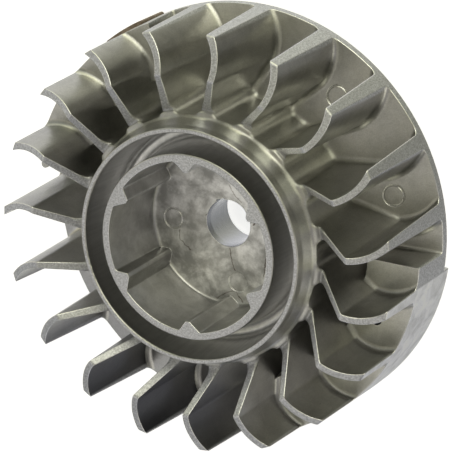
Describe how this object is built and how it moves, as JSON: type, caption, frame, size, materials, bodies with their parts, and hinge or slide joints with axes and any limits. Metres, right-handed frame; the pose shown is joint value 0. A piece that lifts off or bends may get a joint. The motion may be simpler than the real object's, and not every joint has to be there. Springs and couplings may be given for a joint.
{
  "type": "flywheel",
  "caption": "Die-cast fan flywheel of a small two-stroke engine: swept fan fins round a hub ring, a starter cup with ratchet teeth, a keyed taper bore, and pole shoes cast into the rim.",
  "frame": {"origin": "crank axis at the rearmost plane, the counterweight's back face", "axes": "+Z along the crank axis towards the fan side, away from the crankcase; +X through the tip of the fin before the magnet group"},
  "size_m": [0.1012, 0.1012, 0.0351],
  "materials": {
    "cast_aluminium": "as cast, semi-matte",
    "lamination_steel": "browned sheet steel",
    "magnet": "matte",
    "rivet_steel": "satin"
  },
  "bodies": {
    "root": {"rotor_casting": "cast_aluminium", "magnet_block": "magnet", "leading_pole_sheet_1": "lamination_steel", "leading_pole_sheet_2": "lamination_steel", "leading_pole_sheet_3": "lamination_steel", "leading_pole_sheet_4": "lamination_steel", "leading_pole_sheet_5": "lamination_steel", "leading_pole_sheet_6": "lamination_steel", "leading_pole_sheet_7": "lamination_steel", "leading_pole_sheet_8": "lamination_steel", "leading_pole_sheet_9": "lamination_steel", "leading_pole_sheet_10": "lamination_steel", "trailing_pole_sheet_1": "lamination_steel", "trailing_pole_sheet_2": "lamination_steel", "trailing_pole_sheet_3": "lamination_steel", "trailing_pole_sheet_4": "lamination_steel", "trailing_pole_sheet_5": "lamination_steel", "trailing_pole_sheet_6": "lamination_steel", "trailing_pole_sheet_7": "lamination_steel", "trailing_pole_sheet_8": "lamination_steel", "trailing_pole_sheet_9": "lamination_steel", "trailing_pole_sheet_10": "lamination_steel", "leading_pole_rivets": "rivet_steel", "trailing_pole_rivets": "rivet_steel"}
  },
  "joints": []
}
